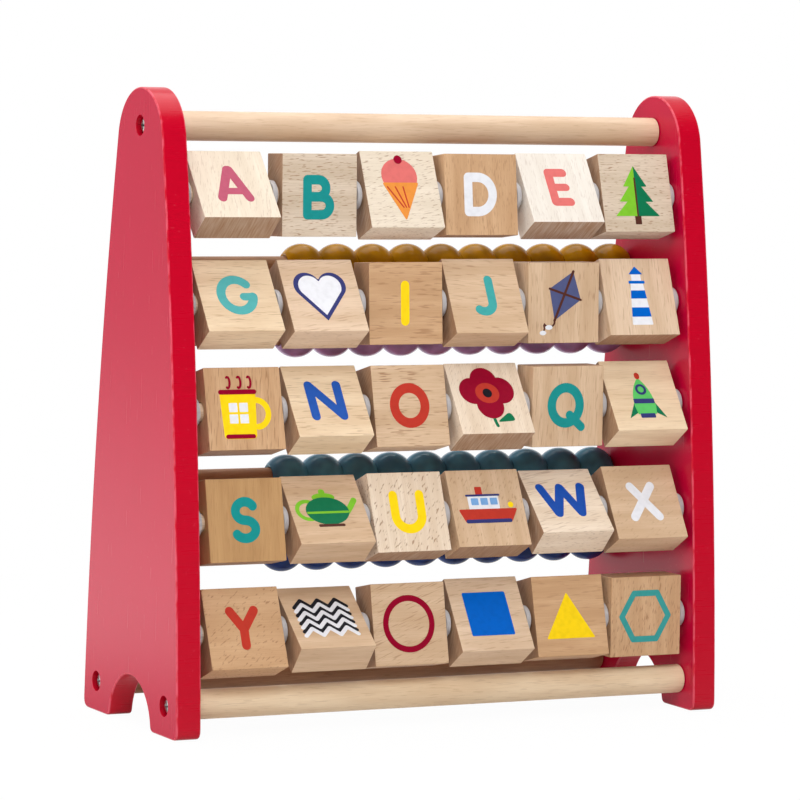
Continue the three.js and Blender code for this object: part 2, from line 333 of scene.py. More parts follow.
# A darker brown wood for the bead rods. On the rear rail it is mostly painted shade, for the deep shadow
# behind the front rail
bead_rod_wood = timber("bead_rod_wood", "brown", 8, flecks=0.4)
print("timber tones", len(TIMBER_TONES))

# %% [markdown]
# ## Bead lacquer, milky plastic and screw steel
# The beads have been tumbled in glossy paint, which pools a little, so colour and gloss drift over
# each ball. The spacers are milky plastic that light sinks into. The screws are bright zinc with
# faint turning rings round their heads.

# %% Bead lacquer, plastic and steel
BEAD_COLOURS = {
    "yellow": (190, 136, 3), "purple": (200, 164, 226), "coral": (214, 88, 66),
    "teal": (84, 149, 176), "blue": (42, 76, 158),
}


def bead_lacquer(name, red, green, blue):
    finish = Finish(f"bead_{name}")
    point = finish.place()
    pools = finish.patches(point, (0.09, 0.09, 0.09), 2.0, 0.3, 0.7)
    peel = finish.noise(point, (0.6, 0.6, 0.6), 1.0)
    deep = srgb(red * 0.8, green * 0.78, blue * 0.8)
    return finish.shade(
        base_color=finish.mix(pools, srgb(red, green, blue), deep),
        roughness=0.13 + 0.06 * pools,
        normal=finish.bump(peel, 0.05),
        specular_ior_level=0.16,
    )


def milky_plastic():
    finish = Finish("spacer_plastic")
    point = finish.place()
    cloud = finish.noise(point, (0.25, 0.25, 0.25))
    colour = finish.mix(cloud, srgb(196, 192, 192), srgb(172, 168, 169))
    return finish.shade(
        base_color=colour,
        roughness=0.28 + 0.1 * cloud,
        subsurface_weight=0.25,
        subsurface_radius=(0.004, 0.004, 0.004),
    )


def screw_steel():
    finish = Finish("screw_steel")
    point = finish.place()
    rings = finish.noise(point, (3.0, 0.6, 0.6), 2.0)
    colour = finish.mix(rings, srgb(214, 214, 212), srgb(168, 167, 165))
    return finish.shade(base_color=colour, metallic=1.0, roughness=0.2 + 0.16 * rings)


bead_rows = {name: bead_lacquer(name, *colour) for name, colour in BEAD_COLOURS.items()}
spacer_plastic = milky_plastic()
steel = screw_steel()
print("bead lacquers", list(bead_rows))

# %% [markdown]
# ## Making a piece
# Every piece is a mesh with one or more finishes that rides on a body of the frame and may stand for
# a solid. Round pieces are turned: an outline of [x, radius] pairs is spun about the rod's axis, as
# on a lathe. Smooth shading stops at real corners, and weighted normals keep flat faces flat.

# %% Piece helpers
TURNED_SIDES = 48
SHARP_CORNER = 32.0


def at(x, y, z):
    """A place in the frame, from millimetres."""
    return Matrix.Translation(Vector((x, y, z)) * MM)


def add_piece(name, mesh, finishes, body, node=None, place=None):
    piece = add_object(name, mesh)
    for finish in finishes:
        mesh.materials.append(finish)
    piece.matrix_world = place or Matrix.Identity(4)
    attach(piece, body)
    if node:
        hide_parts(node)
    return piece


def mesh_from(verts, faces, corner=SHARP_CORNER):
    mesh = bpy.data.meshes.new("piece")
    mesh.from_pydata([[value * MM for value in vert] for vert in verts], [], faces)
    return soften(mesh, corner)


def pour(form, mesh):
    """The bmesh form written into a mesh, and let go."""
    form.to_mesh(mesh)
    form.free()
    return mesh


def soften(mesh, corner=SHARP_CORNER):
    form = bmesh.new()
    form.from_mesh(mesh)
    bmesh.ops.recalc_face_normals(form, faces=form.faces)
    pour(form, mesh)
    mesh.shade_smooth()
    mesh.set_sharp_from_angle(angle=math.radians(corner))
    return mesh


def flatten_normals(piece):
    weighted = piece.modifiers.new("flat_faces", "WEIGHTED_NORMAL")
    weighted.keep_sharp = True
    return piece


def turned(outline, closed=False, sides=TURNED_SIDES):
    """The outline spun about X, in millimetres. A closed outline makes a ring."""
    verts = []
    rings = []
    for x, radius in outline:
        count = sides if radius > 0 else 1
        rings.append(range(len(verts), len(verts) + count))
        for step in range(count):
            angle = 2 * math.pi * step / sides
            verts.append((x, radius * math.cos(angle), radius * math.sin(angle)))
    pairs = list(zip(rings, rings[1:]))
    if closed:
        pairs.append((rings[-1], rings[0]))
    faces = []
    for first, second in pairs:
        for step in range(sides):
            after = (step + 1) % sides
            corners = [first[step % len(first)], first[after % len(first)]]
            corners += [second[after % len(second)], second[step % len(second)]]
            faces.append(list(dict.fromkeys(corners)))
    return verts, [face for face in faces if len(face) > 2]


def arc(centre_u, centre_v, radius_u, radius_v, start, end, steps=20):
    """Points of an ellipse's arc; angles in degrees, counterclockwise from the right."""
    points = []
    for step in range(steps + 1):
        angle = math.radians(start + (end - start) * step / steps)
        points.append((centre_u + radius_u * math.cos(angle), centre_v + radius_v * math.sin(angle)))
    return points


def mirrored(points):
    """The other half of an outline, drawn back from where this half ends."""
    return [(-u, v) for u, v in reversed(points)]


def cut(mesh, cutters):
    """The mesh with the cutters, which don't touch each other, taken out of it."""
    verts = []
    faces = []
    for cutter_verts, cutter_faces in cutters:
        faces += [[index + len(verts) for index in face] for face in cutter_faces]
        verts += cutter_verts
    blank = add_object("blank", mesh)
    tool = add_object("tool", mesh_from(verts, faces))
    difference = blank.modifiers.new("cut", "BOOLEAN")
    difference.operation = "DIFFERENCE"
    difference.solver = "EXACT"
    difference.object = tool
    result = bpy.data.meshes.new_from_object(blank.evaluated_get(bpy.context.evaluated_depsgraph_get()))
    bpy.data.objects.remove(blank)
    bpy.data.objects.remove(tool)
    return result


def moved(cutter, shift):
    verts, faces = cutter
    return [tuple(a + b for a, b in zip(vert, shift)) for vert in verts], faces


print("piece helpers ready")

# %% [markdown]
# ## Where the rods cross the panels
# Rails, axles and bead rods all lie along X. The middle of each solid's box gives where it crosses
# the panels, and the panels' own boxes give the two faces that the rods stop at.

# %% Places from the frame
def box_mm(node):
    low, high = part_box(node)
    return low / MM, high / MM


def crossing(node):
    low, high = box_mm(node)
    middle = (low + high) / 2
    return middle.y, middle.z


rails = {name: crossing(name) for name in ("top_rail", "front_rail", "rear_rail")}
axles = [crossing(f"axle_{row}") for row in range(1, 6)]
bead_rods = [crossing(f"bead_rod_{row}") for row in range(1, 6)]
outer_x = box_mm("side_panel_right")[1].x
inner_x = box_mm("side_panel_right")[0].x
panel_height = box_mm("side_panel_right")[1].z
print("inner width", round(2 * inner_x, 2), "overall width", round(2 * outer_x, 2))

# %% [markdown]
# ## Side panels
# A panel is a board cut to a bullet outline with an arch between its two feet. Each long side is part
# of a very large circle that runs into the crown's circle. The outline is drawn as arcs, then stacked
# through the board's thickness, drawn in a little at both faces so that the edges come out round.
# The sockets of the rods and the counterbores of the screws are cut last.

# %% Panel outline
BASE_DEPTH = 108.0
SIDE_RADIUS = 2050.0
CROWN_RADIUS = 25.6
FOOT_CORNER = 5.0
ARCH_RADIUS = 24.0
ARCH_HEIGHT = 22.5
ARCH_CORNER = 3.0
EDGE_ROUND = 0.7
EDGE_STEPS = 3
CORNER_STEPS = 6
ARCH_STEPS = 16
SIDE_STEPS = 40
CROWN_STEPS = 32


def side_circle():
    """Through the foot's corner, touching the crown's circle from outside."""
    foot = Vector((BASE_DEPTH / 2, 0))
    line = Vector((0, panel_height - CROWN_RADIUS)) - foot
    inner = SIDE_RADIUS - CROWN_RADIUS
    along = (SIDE_RADIUS**2 - inner**2 + line.length**2) / (2 * line.length)
    across = math.sqrt(SIDE_RADIUS**2 - along**2)
    unit = line.normalized()
    return foot + unit * along + Vector((-unit.y, unit.x)) * across


def bent_corner(start, corner, end):
    points = []
    for step in range(CORNER_STEPS + 1):
        t = step / CORNER_STEPS
        first = Vector(start).lerp(corner, t)
        points.append(tuple(first.lerp(Vector(corner).lerp(end, t), t)))
    return points


def panel_outline():
    centre = side_circle()
    crown_z = panel_height - CROWN_RADIUS
    arch_z = ARCH_HEIGHT - ARCH_RADIUS
    arch_end = math.sqrt(ARCH_RADIUS**2 - arch_z**2)
    arch_stop = math.degrees(math.asin((ARCH_CORNER - arch_z) / ARCH_RADIUS))
    foot_start = math.asin((FOOT_CORNER - centre.y) / SIDE_RADIUS)
    crown_start = math.atan2(crown_z - centre.y, -centre.x)
    half = arc(0, arch_z, ARCH_RADIUS, ARCH_RADIUS, 90, arch_stop, ARCH_STEPS)
    half += bent_corner(half[-1], (arch_end, 0), (arch_end + ARCH_CORNER, 0))[1:]
    foot_top = (centre.x + SIDE_RADIUS * math.cos(foot_start), FOOT_CORNER)
    half += bent_corner((BASE_DEPTH / 2 - FOOT_CORNER, 0), (BASE_DEPTH / 2, 0), foot_top)
    sweep = [math.degrees(angle) for angle in (foot_start, crown_start)]
    half += arc(*centre, SIDE_RADIUS, SIDE_RADIUS, *sweep, SIDE_STEPS)[1:]
    half += arc(0, crown_z, CROWN_RADIUS, CROWN_RADIUS, sweep[1], 90, CROWN_STEPS)[1:]
    return half + mirrored(half[1:-1])


def drawn_in(outline, inset):
    """The outline moved inwards along its own normals."""
    points = []
    for index, point in enumerate(outline):
        after = Vector(outline[(index + 1) % len(outline)])
        run = (after - Vector(outline[index - 1])).normalized()
        points.append((point[0] - run.y * inset, point[1] + run.x * inset))
    return points


outline = panel_outline()
print("panel outline points", len(outline))

# %% Panel board
SOCKET_DEPTH = 7.0
SEAT_CLEARANCE = 0.3
ROD_DIAMETER = 8.5
COUNTERBORE_DIAMETER = 9.6
COUNTERBORE_DEPTH = 3.9
BORE_DIAMETER = 4.2
BEYOND = 5.0


def cylinder(start, end, diameter):
    radius = diameter / 2
    return turned([(start, 0), (start, radius), (end, radius), (end, 0)])


def panel_mesh():
    """A panel with its outer face at x = 0 and its inner face at its thickness."""
    thickness = outer_x - inner_x
    layers = []
    for step in range(EDGE_STEPS + 1):
        angle = math.pi / 2 * step / EDGE_STEPS
        layers.append((EDGE_ROUND * (1 - math.cos(angle)), EDGE_ROUND * (1 - math.sin(angle))))
    layers += [(thickness - depth, inset) for depth, inset in reversed(layers)]
    verts = []
    faces = []
    count = len(outline)
    for depth, inset in layers:
        verts += [(depth, y, z) for y, z in drawn_in(outline, inset)]
    for layer in range(len(layers) - 1):
        for index in range(count):
            after = (index + 1) % count
            low = layer * count
            faces.append([low + index, low + after, low + count + after, low + count + index])
    faces += [list(range(count)), list(range(len(verts) - count, len(verts)))]
    mesh = mesh_from(verts, faces)
    mark_rounded_edges(mesh, count)
    return mesh, thickness


def mark_rounded_edges(mesh, count):
    for polygon in mesh.polygons:
        layer = polygon.index // count
        rounded = layer < EDGE_STEPS or EDGE_STEPS < layer <= 2 * EDGE_STEPS
        # Rounded edges take the second finish, whose paler red is partly wear and mostly a painted highlight
        polygon.material_index = 1 if rounded else 0


def add_panel(word, side):
    mesh, thickness = panel_mesh()
    # The finishes go on before the cut, so that each face keeps its own
    for finish in panel_finishes:
        mesh.materials.append(finish)
    socket = cylinder(thickness - SOCKET_DEPTH, thickness + BEYOND, ROD_DIAMETER + 2 * SEAT_CLEARANCE)
    radius = COUNTERBORE_DIAMETER / 2
    hole = BORE_DIAMETER / 2
    screw_way = turned([
        (-BEYOND, 0), (-BEYOND, radius), (COUNTERBORE_DEPTH, radius), (COUNTERBORE_DEPTH, hole),
        (thickness + BEYOND, hole), (thickness + BEYOND, 0),
    ])
    cutters = [moved(socket, (0, side * y, z)) for y, z in axles + bead_rods]
    cutters += [moved(screw_way, (0, side * y, z)) for y, z in rails.values()]
    mesh = soften(cut(mesh, cutters))
    place = at(-side * outer_x, 0, 0) @ Matrix.Rotation(0 if side > 0 else math.pi, 4, "Z")
    node = f"side_panel_{word}"
    panel = add_piece(f"panel_{word}", mesh, [], "stand", node, place)
    return flatten_normals(panel)


panels = [add_panel("left", 1), add_panel("right", -1)]
print("panel faces", [len(panel.data.polygons) for panel in panels])

# %% [markdown]
# ## Rails and screws
# A rail is a turned dowel whose ends butt against the panels. A screw from outside pulls each end
# tight. Its head is low and domed, with a cross recess that gets smaller as it goes down.

# %% Rails and screws
RAIL_DIAMETER = 13.6
RAIL_END_ROUND = 0.5
ROUND_MIDDLE = 0.3
SCREW_REACH = 22.0
SCREW_HEAD_DIAMETER = 8.2
SCREW_HEAD_HEIGHT = 2.4
SCREW_RIM = 0.7
SCREW_SHANK = 3.6
SCREW_TIP = 3.0
CROSS_LENGTH = 4.6
CROSS_WIDTH = 1.0
CROSS_DEPTH = 1.3
CROSS_TAPER = 0.6
CROSS_CLEAR = 0.5
DOME_STEPS = 8


def add_rail(name, crossing_place, wood):
    half = inner_x - SEAT_CLEARANCE
    radius = RAIL_DIAMETER / 2
    bore = BORE_DIAMETER / 2
    bore_end = half - (SCREW_REACH + SEAT_CLEARANCE - (outer_x - inner_x - COUNTERBORE_DEPTH))
    end = [(bore_end, 0), (bore_end, bore), (half, bore), (half, radius - RAIL_END_ROUND)]
    bend = RAIL_END_ROUND * ROUND_MIDDLE
    end += [(half - bend, radius - bend), (half - RAIL_END_ROUND, radius)]
    mesh = mesh_from(*turned(end + mirrored(end)))
    rail = add_piece(f"dowel_{name}", mesh, [wood], "stand", name, at(0, *crossing_place))
    return flatten_normals(rail)


def screw_mesh():
    """A screw along +X with the seat of its head at x = 0."""
    radius = SCREW_HEAD_DIAMETER / 2
    shank = SCREW_SHANK / 2
    dome = arc(-SCREW_RIM, 0, SCREW_RIM - SCREW_HEAD_HEIGHT, radius, 0, 90, DOME_STEPS)
    profile = dome + [(0, radius), (0, shank), (SCREW_REACH - SCREW_TIP, shank), (SCREW_REACH, 0)]
    profile[0] = (-SCREW_HEAD_HEIGHT, 0)
    mesh = mesh_from(*turned(profile))
    return soften(cut(mesh, [cross_recess()]))


def cross_recess():
    """A plus sign drawn smaller at the bottom of the recess than at the top of the head."""
    top = -SCREW_HEAD_HEIGHT - CROSS_CLEAR
    bottom = CROSS_DEPTH - SCREW_HEAD_HEIGHT
    verts = []
    for x, scale in ((top, 1.0), (bottom, CROSS_TAPER)):
        long = CROSS_LENGTH / 2 * scale
        thin = CROSS_WIDTH / 2 * scale
        corner = [(long, -thin), (long, thin), (thin, thin)]
        for quarter in range(4):
            turn = Matrix.Rotation(quarter * math.pi / 2, 2)
            verts += [(x, *(turn @ Vector(point))) for point in corner]
    count = len(verts) // 2
    faces = [[i, (i + 1) % count, count + (i + 1) % count, count + i] for i in range(count)]
    return verts, faces + [list(range(count)), list(range(count, 2 * count))]


screw_form = screw_mesh()
# The rear rail takes the darker brown wood as painted shade: it lies in deep shadow behind the front rail
rail_woods = {"top_rail": top_rail_wood, "front_rail": front_rail_wood, "rear_rail": bead_rod_wood}
for name, crossing_place in rails.items():
    add_rail(name, crossing_place, rail_woods[name])
    for side, word in ((-1, "left"), (1, "right")):
        screw = f"screw_{name.split('_')[0]}_{word}"
        seat = outer_x - COUNTERBORE_DEPTH + SEAT_CLEARANCE
        turn = Matrix.Rotation(0 if side < 0 else math.pi, 4, "Z")
        place = at(side * seat, *crossing_place) @ turn
        add_piece(f"zinc_{screw}", screw_form.copy(), [steel], "stand", screw, place)
print("rails", len(rails), "screws", 2 * len(rails))

# %% [markdown]
# ## Axles and spacers
# Each block row turns on a plain dowel, and a loose plastic ring keeps neighbours apart. The ring
# sits in the middle of each gap, and the gaps are read from the blocks' own boxes.

# %% Axles and spacers
BLOCK_ROWS = ["abcdef", "ghijkl", "mnopqr", "stuvwx", ["y", "z", "circle", "square", "triangle", "hexagon"]]
SPACER_DIAMETER = 13.5
SPACER_LENGTH = 2.4
SPACER_BORE = 8.9
SPACER_ROUND = 0.5
RIM_STEPS = 4
ROD_EASE = 0.4


def rod_mesh():
    """A dowel from socket to socket with eased ends, for an axle or a bead rod."""
    end = inner_x + SOCKET_DEPTH - SEAT_CLEARANCE
    radius = ROD_DIAMETER / 2
    half = [(-end, 0), (-end, radius - ROD_EASE), (ROD_EASE - end, radius)]
    return mesh_from(*turned(half + mirrored(half)))


def spacer_mesh():
    half = SPACER_LENGTH / 2
    outer = SPACER_DIAMETER / 2
    inner = SPACER_BORE / 2
    rim = arc(half - SPACER_ROUND, outer - SPACER_ROUND, SPACER_ROUND, SPACER_ROUND, 0, 90, RIM_STEPS)
    return mesh_from(*turned([(half, inner), *rim, *mirrored(rim), (-half, inner)], closed=True))


rod_form = rod_mesh()
spacer_form = spacer_mesh()
spacers = 0
for row, blocks in enumerate(BLOCK_ROWS):
    name = f"axle_{row + 1}"
    place = at(0, *axles[row])
    add_piece(f"dowel_{name}", rod_form.copy(), [axle_wood], "stand", name, place)
    boxes = [box_mm(f"block_{block}") for block in blocks]
    edges = [-inner_x, *[value for low, high in boxes for value in (low.x, high.x)], inner_x]
    for gap in range(len(blocks) + 1):
        place = at((edges[2 * gap] + edges[2 * gap + 1]) / 2, *axles[row])
        name = f"spacer_{row + 1}_{gap + 1}"
        add_piece(name, spacer_form.copy(), [spacer_plastic], "stand", None, place)
        spacers += 1
print("axles", len(axles), "spacers", spacers)

# %% [markdown]
# ## Beads
# The beads are balls, drilled through and cut off flat where they meet. They slide as one pack of
# ten here, so each ball rides on its row's body. The mouths of the bores are eased.

# %% Beads
BEAD_DIAMETER = 20.4
BEAD_LENGTH = 18.4
BEAD_BORE = 9.3
BEAD_NECK = 11.1
BEADS_PER_ROW = 10
BEAD_STEPS = 24
BEAD_SPIN = 2.4
MOUTH_EASE = 0.3
MOUTH_CORNER = 50


def bead_mesh():
    """A ball with its ends cut off by a drilled, softened mouth."""
    radius = BEAD_DIAMETER / 2
    swell = BEAD_LENGTH / 2 / math.sqrt(1 - (BEAD_NECK / BEAD_DIAMETER) ** 2)
    stop = math.degrees(math.asin(BEAD_LENGTH / 2 / swell))
    ball = [(x, r) for r, x in arc(0, 0, radius, swell, -stop, stop, BEAD_STEPS)]
    mouth = BEAD_LENGTH / 2 - MOUTH_EASE
    profile = [(-mouth, BEAD_BORE / 2), *ball, (mouth, BEAD_BORE / 2)]
    return mesh_from(*turned(profile, closed=True), MOUTH_CORNER)


bead_form = bead_mesh()
for row, (colour, lacquer) in enumerate(bead_rows.items()):
    rod = f"bead_rod_{row + 1}"
    place = at(0, *bead_rods[row])
    add_piece(f"dowel_{rod}", rod_form.copy(), [bead_rod_wood], "stand", rod, place)
    row_body = f"beads_{colour}"
    low, high = box_mm(row_body)
    pitch = (high.x - low.x) / BEADS_PER_ROW
    for bead in range(BEADS_PER_ROW):
        spin = Matrix.Rotation(bead * BEAD_SPIN + row, 4, "X")
        place = at(low.x + (bead + 0.5) * pitch, *bead_rods[row]) @ spin
        name = f"bead_{colour}_{bead + 1}"
        add_piece(name, bead_form.copy(), [lacquer], row_body, row_body, place)
print("beads", BEADS_PER_ROW * len(bead_rows))

# %% [markdown]
# ## Printed inks
# The prints are flat inks with a slight gloss. On wood an ink is never quite even, so each one
# drifts towards a deeper shade of itself. A print is a slab too thin to cast a shadow that shows,
# but it is real geometry.

# %% Inks
INK_COLOURS = {
    "pink": (180, 82, 106), "teal": (26, 141, 139), "white": (229, 229, 234), "coral": (216, 110, 106),
    "turquoise": (66, 162, 160), "yellow": (250, 211, 24), "blue": (37, 85, 172), "royal": (19, 73, 164),
    "red": (187, 57, 44), "crimson": (146, 3, 40), "azure": (0, 95, 193), "orange": (226, 142, 62),
    "leaf": (124, 191, 48), "green": (15, 113, 74), "navy": (53, 57, 113), "brown": (86, 47, 38),
    "sky": (120, 165, 215), "black": (26, 26, 34), "slate": (81, 87, 128), "lime": (92, 193, 100),
    "aqua": (84, 173, 173), "sea": (58, 152, 149),
}


def ink(name, colour):
    finish = Finish(f"ink_{name}")
    point = finish.place()
    uneven = finish.patches(point, (0.3, 0.5, 0.3), 3.0, 0.35, 0.75)
    deep = srgb(*[value * 0.96 for value in colour])
    return finish.shade(
        base_color=finish.mix(uneven, srgb(*colour), deep),
        roughness=0.4 + 0.14 * uneven,
        specular_ior_level=0.15,
    )


inks = {name: ink(name, colour) for name, colour in INK_COLOURS.items()}
print("inks", len(inks))

# %% [markdown]
# ## Drawing prints
# A print is a list of layers, each an ink and some closed outlines in millimetres from the middle of
# the face. Letters are drawn as a pen would: paths thickened by a round nib. Outlines of one ink may
# overlap, because a constrained triangulation joins them and keeps only what lies in one of them.

# %% Drawing helpers
NIB = 4.4
NIB_STEPS = 8


def thick(path, width=NIB):
    """The outline that a round nib leaves along a smooth path."""
    points = [Vector(point) for point in path]
    left = []
    right = []
    for index, point in enumerate(points):
        run = points[min(index + 1, len(points) - 1)] - points[max(index - 1, 0)]
        across = Vector((-run.y, run.x)).normalized() * width / 2
        left.append(tuple(point + across))
        right.append(tuple(point - across))
    ends = []
    for tip, run in ((points[-1], points[-1] - points[-2]), (points[0], points[0] - points[1])):
        heading = math.degrees(math.atan2(run.y, run.x))
        ends.append(arc(*tip, width / 2, width / 2, heading + 90, heading - 90, NIB_STEPS)[1:-1])
    return left + ends[0] + right[::-1] + ends[1]


def line(*points, width=NIB):
    """Straight strokes from point to point, with round joins."""
    return [thick(pair, width) for pair in zip(points, points[1:])]


def curve(*parts, width=NIB):
    """One smooth stroke through arcs and points."""
    path = [point for part in parts for point in (part if isinstance(part, list) else [part])]
    return [thick(path, width)]


def oval(centre_u, centre_v, radius_u, radius_v=None):
    return arc(centre_u, centre_v, radius_u, radius_v or radius_u, 0, 360, 40)[:-1]


def ring(centre_u, centre_v, radius_u, radius_v, width=NIB):
    """A closed oval stroke, in two halves that overlap."""
    halves = [arc(centre_u, centre_v, radius_u, radius_v, start, start + 184, 28) for start in (0, 180)]
    return [thick(half, width) for half in halves]


def rounded(points, radius):
    """A polygon with its corners rounded off by the radius."""
    corners = [Vector(point) for point in points]
    outline = []
    for index, corner in enumerate(corners):
        before = (corners[index - 1] - corner).normalized() * radius
        after = (corners[(index + 1) % len(corners)] - corner).normalized() * radius
        outline += bent_corner(corner + before, corner, corner + after)
    return outline


def block_shape(low_u, low_v, high_u, high_v, radius=0.8):
    return rounded([(low_u, low_v), (high_u, low_v), (high_u, high_v), (low_u, high_v)], radius)


def regular(count, radius, turn=0.0, inner=None):
    """A regular polygon, or a star if an inner radius is given."""
    step = 360 / count / (2 if inner else 1)
    reach = [radius, inner] if inner else [radius]
    points = []
    for index in range(count * len(reach)):
        angle = math.radians(turn + index * step)
        length = reach[index % len(reach)]
        points.append((length * math.cos(angle), length * math.sin(angle)))
    return points


print("drawing helpers ready")

# %% [markdown]
# ## Letters
# Plain upright capitals, about 16 mm high along the middle of the stroke. Straight strokes are lists
# of points, bowls are arcs, and nearly all strokes have the width of the nib.

# %% Letters
LETTERS = {
    "a": line((-6.8, -8), (-0.4, 8)) + line((0.4, 8), (6.8, -8))
    + line((-4.8, -4.2), (4.8, -4.2), width=3.6),
    "b": line((-5.8, -9), (-5.8, 7)) + curve((-5.8, 7), arc(-0.4, 3.1, 4.1, 3.9, 90, -90), (-5.8, -0.8))
    + curve((-5.8, -0.8), arc(1.3, -4.9, 4.4, 4.1, 90, -90), (-5.8, -9)),
    "c": curve(arc(0.8, 0, 7.6, 8.1, 48, 312, 32)),
    "d": line((-6.4, -8), (-6.4, 8)) + curve((-6.4, 8), arc(-1.4, 0, 7.8, 8, 90, -90, 28), (-6.4, -8)),
    "e": line((3.9, 8), (-3.8, 8), (-3.8, -8), (4.1, -8)) + line((-3.8, 0), (3.7, 0), width=4.0),
    "f": line((4.4, 8), (-3.6, 8), (-3.6, -8)) + line((-3.6, 0.4), (3.2, 0.4)),
    "g": curve(arc(0, 0, 7.8, 8.2, 44, 354, 36)) + line((7.7, -0.9), (3.2, -0.9), width=4.0),
    "h": line((-6, 8), (-6, -8)) + line((6, 8), (6, -8)) + line((-6, 0), (6, 0)),
    "i": line((0, 8.2), (0, -8.2)),
    "j": curve((3.6, 8), arc(-1, -3.6, 4.6, 4.4, 0, -128, 18)),
    "k": line((-5, 8), (-5, -8)) + line((5.4, 8), (-4.6, -1.6)) + line((-1.2, 1.6), (5.8, -8)),
    "l": line((-3.8, 8), (-3.8, -8), (4.6, -8)),
    "m": line((-8, -8), (-6.6, 8), (0, -3.4), (6.6, 8), (8, -8)),
    "n": line((-7.3, -8.3), (-7.1, 8.3), (6.7, -8.3), (7.1, 8.3)),
    "o": ring(0, 0, 7.9, 8.2, 4.6),
    "p": line((-5, 8), (-5, -8)) + curve((-5, 8), arc(0.4, 3.5, 4.8, 4.5, 90, -90), (-5, -1)),
    "q": ring(-0.8, 0.4, 7.5, 8.3, 4.5) + line((1.4, -4.2), (7.6, -9.8), width=4.2),
    "r": line((-5, 8), (-5, -8)) + curve((-5, 8), arc(0.2, 3.7, 4.7, 4.3, 90, -90), (-5, -0.6))
    + line((0.2, -0.6), (5.6, -8)),
    "s": curve(arc(0.1, 4.1, 4.7, 4.2, 32, 270, 24), arc(-0.1, -4.2, 5.1, 4.1, 90, -148, 24)[1:]),
    "t": line((-6.8, 8), (6.8, 8)) + line((0, 8), (0, -8)),
    "u": curve((-6.8, 8), arc(0, -1.6, 6.8, 6.6, 180, 360, 28), (6.8, 8)),
    "v": line((-6.8, 8), (0, -8), (6.8, 8)),
    "w": line((-10.8, 8), (-6.1, -7.8), (-0.2, 7.8), (6.2, -7.8), (10.9, 8), width=4.5),
    "x": line((-5.5, 7.9), (6.7, -7.9)) + line((5.6, 7.9), (-6.7, -7.9)),
    "y": line((-6, 8), (0, -0.6), (6, 8)) + line((0, -0.6), (0, -8.1)),
    "z": line((-5.8, 8), (5.8, 8), (-6, -8), (6, -8)),
}
print("letters", len(LETTERS))

# %% [markdown]
# ## Pictures and shapes
# Every letter has a plain picture of something that starts with it, made of a few simple shapes.
# They are built like paper cut-outs: big shapes first, then details on top in another ink.

# %% Pictures seen from the front
def cone():
    hatch = []
    for shift in (-4, 0, 4):
        hatch += line((shift - 3, 1), (shift / 3 + 1, -9), width=0.7)
    biscuit = rounded([(-9.4, 3.2), (9.4, 3.2), (0, -15.6)], 1.2)
    return [("coral", [oval(0, 6.4, 9.2, 8.6)]), ("orange", [biscuit]), ("red", hatch),
            ("crimson", [oval(0.6, 14.6, 2.1)])]


def fir():
    tiers = ((13, 3, 6.4), (7.4, -4.4, 9.2), (0.6, -11.4, 12))
    right = [rounded([(0, top), (half, low), (0, low)], 0.4) for top, low, half in tiers]
    left = [rounded([(0, top), (0, low), (-half, low)], 0.4) for top, low, half in tiers]
    return [("brown", [block_shape(-1.7, -15.4, 1.7, -10, 0.4)]), ("green", right), ("leaf", left),
            ("brown", line((0, 7), (0, -11), width=0.9))]


def heart(scale=1.0):
    lobes = arc(6.3 * scale, 5 * scale, 6.9 * scale, 6.9 * scale, -32, 150, 22)
    return lobes + mirrored(lobes) + [(0, -13.4 * scale)]


def kite():
    sail = [(5.4, 14.6), (9.6, 1.2), (-4.4, -8.4), (-7.2, 6.6)]
    tail = curve(arc(-7.2, -9.2, 2.8, 2.2, 18, -160, 10), arc(-12.4, -12, 2.6, 2.4, 30, -60, 8), width=0.9)
    bows = [oval(-7.4, -11.6, 1.9, 1.1), oval(-10.6, -14.2, 1.7, 1.1)]
    spars = line(sail[0], sail[2], width=1.3) + line(sail[1], sail[3], width=1.1)
    return [("slate", [rounded(sail, 0.9)]), ("brown", spars + tail), ("white", bows)]


def lighthouse():
    tower = rounded([(-5.6, -14), (5.6, -14), (3.4, 7), (-3.4, 7)], 0.5)
    lamp_room = block_shape(-2.6, 7, 2.6, 11.4, 0.3)
    gallery = block_shape(-4.4, 6.4, 4.4, 7.8, 0.5)
    roof = rounded([(-3.8, 11), (3.8, 11), (0, 15)], 0.6)
    bands = []
    for low, high, half in ((-10, -5.4, 5.2), (-1, 3, 4.3)):
        bands.append([(-half, low), (half, low), (half - 0.5, high), (0.5 - half, high)])
    return [("white", [tower, lamp_room]), ("azure", bands + [gallery, roof])]


def mug():
    body = rounded([(-11.6, 8), (6.4, 8), (5.4, -14), (-10.6, -14)], 2.2)
    handle = curve(arc(6, -2.4, 6, 6.2, 84, -84, 16), width=2.8)
    steam = [thick(arc(u, 12, 1, 2.6, 120, -120, 10), 1.1) for u in (-7, -1.6, 3.4)]
    panes = [block_shape(u, v, u + 4.2, v + 4.2, 0.3) for u in (-7.4, -2.2) for v in (-6.8, -1.6)]
    rims = line((-11, 7.6), (5.8, 7.6), width=2.2) + line((-9, -12.8), (3.8, -12.8), width=2)
    return [("yellow", [body] + handle), ("white", panes), ("crimson", steam + rims)]


def poppy():
    petals = [oval(7.4 * math.cos(a), 2.6 + 6.6 * math.sin(a), 7) for a in (0.2, 1.6, 2.95, 4.7)]
    stem = curve(arc(9, -9, 9, 14, 170, 205, 10), width=1.6)
    leaf = rounded([(1, -13), (9, -7.4), (11.4, -12.4)], 2.4)
    return [("green", stem + [leaf]), ("crimson", petals), ("red", [oval(0, 2.6, 6.2, 5.4)]),
            ("black", [oval(0, 2.6, 2.4)])]


